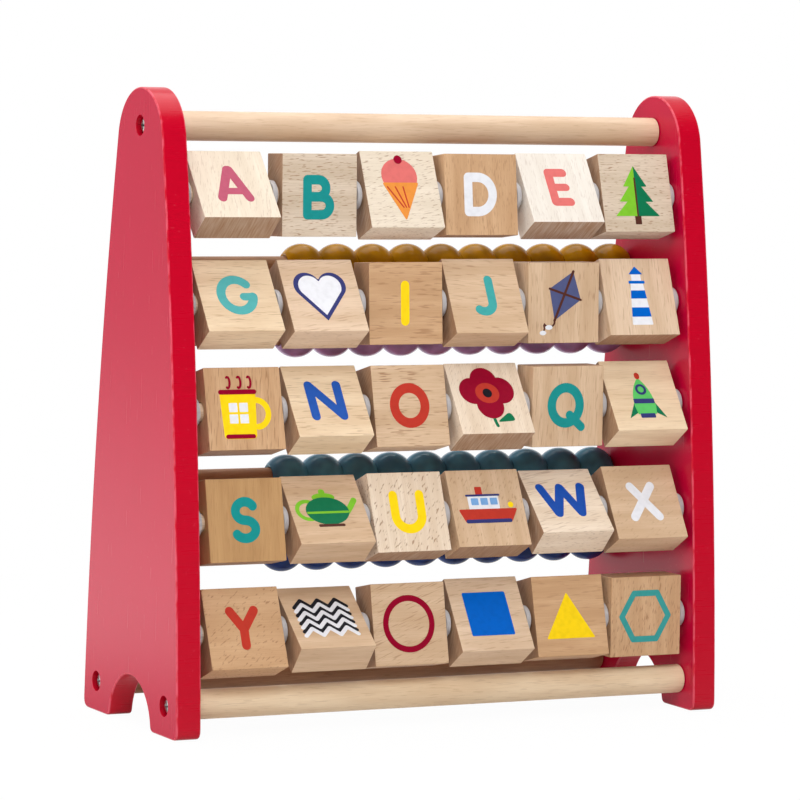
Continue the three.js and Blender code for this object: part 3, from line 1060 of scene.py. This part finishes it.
def rocket():
    flank = arc(-9.6, -6, 15.4, 19.6, 0, 51, 14)
    body = flank + mirrored(flank) + [(-5, -10.4), (5, -10.4)]
    fins = [rounded([(side * 5, -3), (side * 10.2, -12.6), (side * 4.6, -9.4)], 0.8) for side in (-1, 1)]
    belts = [block_shape(-5.6, -4.6, 5.6, -2, 0.4), block_shape(-4, -12.4, 4, -10, 0.6)]
    return [("green", fins), ("lime", [body]), ("navy", belts + ring(0, 3, 2.3, 2.3, 1.3)),
            ("red", [oval(0, 10.4, 1.4, 1.8)])]


def teapot():
    spout = curve((9, -3), (12, 0.4), (15, 4.4), width=2.8)
    handle = curve(arc(-9.6, -0.6, 5.4, 5, 70, 290, 16), width=2)
    lid = [oval(0, 6.4, 5.8, 2.4), oval(0, 9.4, 1.6)]
    return [("leaf", spout + handle + lid), ("green", [oval(0, -1.2, 10.8, 7.6)]),
            ("leaf", line((-10, -2), (10, -2), width=1.2)),
            ("brown", line((-6, -9.2), (6, -9.2), width=1.4))]


def vessel():
    hull = rounded([(-15.4, -0.6), (15.6, -0.6), (11.6, -7.4), (-12.4, -7.4)], 1.2)
    cabin = block_shape(-9.6, -1, 6.6, 6.4, 1.2)
    panes = [block_shape(u, 1.4, u + 3.8, 4.8, 0.4) for u in (-8, -3, 2)]
    return [("white", [cabin]), ("red", [hull, block_shape(-5, 6, -1.4, 10.4, 0.4)]), ("sky", panes),
            ("navy", line((-11.6, -6.6), (10.8, -6.6), width=1.8) + line((-10, 6.2), (7, 6.2), width=1)),
            ("yellow", [oval(12.4, 1.2, 1.4)])]


def zigzag(ink_name, first):
    rows = []
    for row in range(first, 8, 2):
        height = 8.4 - row * 2.5
        points = [(-13.2 + 4.4 * k, height + (2.2 if k % 2 else -2.2)) for k in range(7)]
        rows += line(*points, width=2.0)
    return (ink_name, rows)


print("front pictures ready")

# %% Pictures on the backs of the letters
def bars(*names):
    """Bars of a small xylophone, each shorter than the last."""
    layers = []
    for step, name in enumerate(names):
        left = 4.6 * step - 11
        layers.append((name, [block_shape(left, step - 11, left + 3.6, 11 - step, 1.4)]))
    return layers


def arches(*names):
    layers = []
    for step, name in enumerate(names):
        bow = arc(0, -7, 12 - 3.6 * step, 15 - 3.6 * step, 0, 180, 28)
        layers.append((name, curve(bow, width=3)))
    return layers


def waves(name):
    rows = []
    for height in (6, 0, -6):
        path = [(u / 2, height + 2 * math.sin(u * 0.5)) for u in range(-24, 25)]
        rows += curve(path, width=2.4)
    return [(name, rows)]


def quilt(name):
    squares = [(u, v) for u in range(3) for v in range(3) if (u + v) % 2 == 0]
    return [("white", [block_shape(-12, -12, 12, 12)]),
            (name, [block_shape(8 * u - 12, 8 * v - 12, 8 * u - 4, 8 * v - 4, 0.2) for u, v in squares])]


PICTURES = {
    "a": arches("pink", "yellow", "teal"),
    "b": [("teal", [oval(0, 0, 12)]), ("white", curve(arc(-14, 0, 14, 14, -44, 44), width=2.4)
           + curve(arc(14, 0, 14, 14, 136, 224), width=2.4))],
    "c": cone(),
    "d": [("azure", [rounded([(0, 14), (10, 0), (0, -14), (-10, 0)], 0.8)]),
          ("white", [rounded([(0, 8), (5.6, 0), (0, -8), (-5.6, 0)], 0.5)])],
    "e": [("coral", [oval(0, 0, 9.6, 13)]),
          ("white", line((-7, 3), (7, 3), width=2) + line((-7, -4), (7, -4), width=2))],
    "f": fir(),
    "g": [("turquoise", [rounded([(-8, 9), (8, 9), (13, 3), (0, -12), (-13, 3)], 0.6)]),
          ("white", line((-12, 3), (12, 3), width=0.8) + line((-5, 3), (0, -11), (5, 3), width=0.8))],
    "h": [("navy", [heart()]), ("white", [[(u, v + 0.5) for u, v in heart(0.82)]])],
    "i": [("brown", line((0, -13), (0, -6), width=3)), ("yellow", [block_shape(-6.4, -7, 6.4, 13, 4)])],
    "j": [("turquoise", [block_shape(-8, -13, 8, 8, 3)]), ("royal", [block_shape(-7, 8.4, 7, 12, 0.8)])],
    "k": kite(),
    "l": lighthouse(),
    "m": mug(),
    "n": [("blue", ring(0, 0, 8, 8, 4.6))],
    "o": [("orange", [oval(0, -1, 11.6)]), ("green", [oval(3.4, 11.6, 4, 1.8)])],
    "p": poppy(),
    "q": quilt("teal"),
    "r": rocket(),
    "s": [("yellow", [rounded(regular(5, 13.6, 90, 6.2), 0.8)])],
    "t": teapot(),
    "u": [("yellow", [arc(0, -1, 13, 12, 0, 180, 28)]),
          ("brown", curve((0, -1), arc(2.6, -10, 2.6, 2.6, 180, 340, 12), width=1.6))],
    "v": vessel(),
    "w": waves("royal"),
    "x": bars("crimson", "orange", "yellow", "leaf", "azure"),
    "y": [("red", [oval(0, 0, 12)]), ("white", ring(0, 0, 7, 7, 1.4))],
    "z": [zigzag("black", 0), zigzag("white", 1)],
    "circle": [("crimson", ring(0, 0, 11.9, 11.9, 2.8))],
    "square": [("azure", [block_shape(-11.3, -11.2, 11.3, 11.2, 0.9)])],
    "triangle": [("yellow", [rounded([(-13, -10.8), (13, -10.8), (-0.6, 11)], 0.9)])],
    "hexagon": [("sea", line(*(regular(6, 12.6) + regular(6, 12.6)[:1]), width=2.9))],
}
BACK_SHAPES = {
    "circle": [("crimson", [oval(0, 0, 12)])],
    "square": [("azure", line((-9.6, -9.6), (9.6, -9.6), (9.6, 9.6), (-9.6, 9.6), (-9.6, -9.6), width=2.9))],
    "triangle": [("yellow", line((-10.6, -8.6), (10.6, -8.6), (0, 9), (-10.6, -8.6), width=2.9))],
    "hexagon": [("turquoise", [rounded(regular(6, 13), 0.8)])],
}
print("pictures", len(PICTURES))

# %% [markdown]
# ## Blocks
# A block is a slice of beech with softly rounded edges and a bore for its axle. All thirty share one
# form, but each has its own cut of timber and its own two prints. The back print is turned so that it
# reads upright once the block has been spun on its axle.

# %% Block table
# For each block: tilt at rest in degrees, the ink of its letter, which side faces the front, the
# tone, the angles of grain and dashes, and the kind and strength of the dashes
BLOCKS = {
    "a": (-40, "pink", "letter", "cream", 90, 78, "fine", 0.25),
    "b": (-2, "teal", "letter", "grey", 0, 2, "fine", 0.7),
    "c": (-24, "orange", "picture", "cream", 0, 10, "fine", 0.6),
    "d": (-7, "white", "letter", "honey", 90, 90, "fine", 0.35),
    "e": (-34, "coral", "letter", "white", 90, 82, "fine", 0.2),
    "f": (-16, "green", "picture", "grey", 0, 0, "fine", 0.7),
    "g": (-36, "aqua", "letter", "wheat", 0, 0, "long", 0.35),
    "h": (-34, "navy", "picture", "straw", 0, 8, "long", 0.3),
    "i": (-4, "yellow", "letter", "honey", 0, 0, "long", 0.4),
    "j": (-28, "turquoise", "letter", "sand", 0, -5, "long", 0.35),
    "k": (-2, "slate", "picture", "sand", 90, 90, "long", 0.4),
    "l": (-21, "azure", "picture", "straw", 90, 86, "long", 0.35),
    "m": (-15, "red", "picture", "honey", 90, 84, "long", 0.5),
    "n": (-37, "blue", "letter", "wheat", 0, 0, "long", 0.35),
    "o": (-14, "red", "letter", "sand", 0, 0, "long", 0.6),
    "p": (-35, "crimson", "picture", "pale", 90, 60, "fine", 0.3),
    "q": (-1, "teal", "letter", "sand", 90, 86, "long", 0.35),
    "r": (-35, "lime", "picture", "wheat", 0, 0, "long", 0.15),
    "s": (-12, "teal", "letter", "amber", 90, 86, "long", 0.2),
    "t": (-42, "green", "picture", "sand", 0, 0, "long", 0.3),
    "u": (-22, "yellow", "letter", "pale", 90, 58, "short", 0.65),
    "v": (-27, "red", "picture", "sand", 90, 62, "short", 0.35),
    "w": (-46, "royal", "letter", "pale", 0, 12, "long", 0.35),
    "x": (-31, "white", "letter", "sand", 0, 28, "short", 0.2),
    "y": (-23, "red", "letter", "honey", 0, 36, "short", 0.55),
    "z": (-51, "black", "picture", "sand", 0, 0, "long", 0.15),
    "circle": (-12, None, "picture", "sand", 0, 20, "long", 0.4),
    "square": (-34, None, "picture", "straw", 0, 6, "long", 0.3),
    "triangle": (-15, None, "picture", "honey", 0, 0, "long", 0.25),
    "hexagon": (-1, None, "picture", "honey", 90, 80, "fine", 0.6),
}
# Where the middle of a print lies on its face
PRINT_CENTRE = (-0.5, 0.05)
print("blocks", len(BLOCKS))

# %% Block and print meshes
BLOCK_SIDE = 38.0
BLOCK_DEPTH = 16.0
BLOCK_ROUND = 0.45
INK_SOAK = 0.03
INK_HEIGHT = 0.05
LAYER_STEP = 0.025
WELD = 1e-4


def block_mesh():
    form = bmesh.new()
    bmesh.ops.create_cube(form, size=1)
    bmesh.ops.scale(form, vec=Vector((BLOCK_SIDE, BLOCK_DEPTH, BLOCK_SIDE)) * MM, verts=form.verts)
    rounding = {"offset": BLOCK_ROUND * MM, "segments": 2, "profile": 0.5, "affect": "EDGES"}
    bmesh.ops.bevel(form, geom=form.edges[:], **rounding)
    mesh = pour(form, bpy.data.meshes.new("block"))
    return soften(cut(mesh, [cylinder(-BLOCK_SIDE, BLOCK_SIDE, BEAD_BORE)]))


def counterclockwise(points):
    turns = [a[0] * b[1] - a[1] * b[0] for a, b in zip(points, points[1:] + points[:1])]
    return points if sum(turns) > 0 else points[::-1]


def joined_outlines(outlines):
    """Corners and triangles of everything that lies in at least one of the outlines."""
    corners = []
    loops = []
    for points in outlines:
        loops.append(list(range(len(corners), len(corners) + len(points))))
        corners += [Vector(point) for point in counterclockwise(points)]
    spots, _, triangles, _, _, owners = delaunay_2d_cdt(corners, [], loops, 1, WELD)
    return spots, [list(triangle) for triangle, owner in zip(triangles, owners) if owner]


def slab(outlines, top):
    """A thin closed slab of ink: its upper face, its lower face and the walls between."""
    spots, triangles = joined_outlines(outlines)
    count = len(spots)
    verts = [(u, top, v) for u, v in spots] + [(u, -INK_SOAK, v) for u, v in spots]
    used = {}
    for triangle in triangles:
        for first, second in zip(triangle, triangle[1:] + triangle[:1]):
            used[(first, second)] = True
    walls = [[a, b, b + count, a + count] for a, b in used if (b, a) not in used]
    floor = [[index + count for index in reversed(triangle)] for triangle in triangles]
    return verts, triangles + floor + walls


def print_mesh(sides):
    """The two prints of a block. A height above a face goes outwards, and the back is turned over."""
    form = bmesh.new()
    finishes = []
    for direction, layers in zip((-1, 1), sides):
        for depth, (name, outlines) in enumerate(layers):
            if inks[name] not in finishes:
                finishes.append(inks[name])
            verts, faces = slab(outlines, INK_HEIGHT + LAYER_STEP * depth)
            made = []
            for u, height, v in verts:
                out = direction * (BLOCK_DEPTH / 2 + height)
                up = -direction * (v + PRINT_CENTRE[1])
                made.append(form.verts.new(Vector((u + PRINT_CENTRE[0], out, up)) * MM))
            for face in faces:
                form.faces.new([made[index] for index in face]).material_index = finishes.index(inks[name])
    loose = [vert for vert in form.verts if not vert.link_faces]
    bmesh.ops.delete(form, geom=loose, context="VERTS")
    bmesh.ops.recalc_face_normals(form, faces=form.faces)
    return pour(form, bpy.data.meshes.new("print")), finishes


block_form = block_mesh()
print("block faces", len(block_form.polygons))

# %% Add the blocks
for seed, (name, (tilt, colour, front, *cut_of_wood)) in enumerate(BLOCKS.items()):
    node = f"block_{name}"
    tone, *grain = cut_of_wood
    wood = timber(f"beech_{name}", tone, seed + 11, *grain)
    place = Matrix.Translation(joint_place[node]) @ Matrix.Rotation(math.radians(tilt), 4, "X")
    block = add_piece(f"beech_{name}", block_form.copy(), [wood], node, node, place)
    flatten_normals(block)
    other = [(colour, LETTERS[name])] if name in LETTERS else BACK_SHAPES[name]
    sides = (other, PICTURES[name]) if front == "letter" else (PICTURES[name], other)
    mesh, finishes = print_mesh(sides)
    add_piece(f"print_{name}", mesh, finishes, node, place=place)
print("blocks and prints", 2 * len(BLOCKS))

# %% [markdown]
# ## Studio
# A broad soft light hangs overhead, a smaller one stands high in front on the left, and a weak one
# fills from the left. The floor and the room look white to the camera without lighting the object
# more, and glossy faces see a room that is bright behind the object and dim in front of it. Glossy
# faces see the floor with a painted shadow under the object, and a little way out glowing brighter
# than white, a painted reflection that puts a sheen low on the panels.

# %% Floor and room
FLOOR_HALF = 6.0
FLOOR_DROP = 0.0003
FLOOR_GLOW = 0.97
FLOOR_GREY = srgb(238, 238, 238)
# Ranges over which the shadow ends and the floor and the room get brighter or dimmer, as far as
# glossy faces see them: metres on the floor, shares of a unit direction in the room
SHADOW_REACH = (0.2, 0.5)
# For glossy faces the floor is dimmed under the object, a painted shadow, and glows brighter than white
# beyond it, a painted reflection
PAINTED_SHADOW_EDGE = (0.1, 0.4)
SHINE_FALL = (0.4, 2.8)
SHINE_FRONT = (-0.35, 0.0)
ROOM_BACK = (-0.2, 0.5)
ROOM_RISE = (0.0, 0.15)
ROOM_FADE = (0.3, 0.7)


def add_floor():
    mesh = bpy.data.meshes.new("floor")
    corners = [(FLOOR_HALF * x, FLOOR_HALF * y) for x, y in ((-1, -1), (1, -1), (1, 1), (-1, 1))]
    mesh.from_pydata([(x, y, -FLOOR_DROP) for x, y in corners], [], [[0, 1, 2, 3]])
    finish = Finish("floor_white")
    seen = finish.ray("Camera")
    glossy = finish.ray("Glossy")
    spot = finish.node("ShaderNodeTexCoord", output="Object")
    ahead = finish.part(spot, "Y")
    away = finish.node("ShaderNodeVectorMath", {"operation": "LENGTH"}, {0: spot}, output="Value")
    far = finish.between(away, *SHADOW_REACH)
    # Glossy faces see a painted shadow under the object, then a glow brighter than white, a painted
    # reflection, fading far off and in front
    rise = 0.6 + 0.9 * finish.between(away, *PAINTED_SHADOW_EDGE)
    painted_shadow_and_sheen = rise * (1 - 0.6 * finish.between(away, *SHINE_FALL))
    shine = painted_shadow_and_sheen * (0.06 + 0.94 * finish.between(ahead, *SHINE_FRONT))
    matt = finish.node("ShaderNodeBsdfDiffuse", None, {"Color": FLOOR_GREY})
    glow = finish.node("ShaderNodeEmission", None, {"Color": seen + glossy * shine})
    share = seen * (FLOOR_GLOW + (1 - FLOOR_GLOW) * far) + glossy
    surface = finish.node("ShaderNodeMixShader", None, {0: share, 1: matt, 2: glow})
    finish.node("ShaderNodeOutputMaterial", None, {"Surface": surface})
    mesh.materials.append(finish.data)
    add_object("floor", mesh)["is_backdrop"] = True


def light_room():
    world = bpy.data.worlds.new("room")
    scene.world = world
    room = Finish("room", world)
    seen = room.ray("Camera")
    through = room.ray("Transmission")
    direction = room.node("ShaderNodeTexCoord", output="Generated")
    ahead = room.part(direction, "Y")
    above = room.part(direction, "Z")
    behind = room.between(ahead, *ROOM_BACK)
    rise = room.between(above, *ROOM_RISE)
    fade = room.between(above, *ROOM_FADE)
    backdrop = 0.05 + (0.5 + 0.7 * rise - 0.7 * fade) * behind
    grey = room.node("ShaderNodeMath", {"operation": "MAXIMUM"}, {0: backdrop, 1: seen + through})
    glow = room.node("ShaderNodeBackground", None, {"Color": grey})
    room.node("ShaderNodeOutputWorld", None, {"Surface": glow})


add_floor()
light_room()
print("floor and room ready")

# %% Lamps
# Place, size and power of each, and whether glossy faces show it
LAMPS = {
    "overhead": ((0.0, 0.2, 2.2), 2.2, 41.0, True),
    "left_fill": ((-1.7, -0.3, 0.35), 1.4, 7.5, False),
    "front_fill": ((-0.5, -1.3, 1.4), 1.2, 25.0, False),
}
AIM = Vector((0, 0, 0.15))

for name, (place, size, power, shines) in LAMPS.items():
    lamp = bpy.data.lights.new(name, "AREA")
    lamp.size = size
    lamp.energy = power
    holder = add_object(name, lamp)
    holder.location = place
    holder.rotation_mode = "QUATERNION"
    holder.rotation_quaternion = (AIM - Vector(place)).to_track_quat("-Z", "Y")
    holder.visible_camera = False
    holder.visible_glossy = shines
print("lamps", list(LAMPS))

# %% [markdown]
# ## Size
# The finer meshes must not make the object bigger than its solids. Both boxes are kept, and the
# box of the finer meshes is printed.

# %% Size
boxes = {"cad": cad_box, "visual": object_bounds()}
print("visual box", [[round(value / MM, 2) for value in corner] for corner in boxes["visual"]])
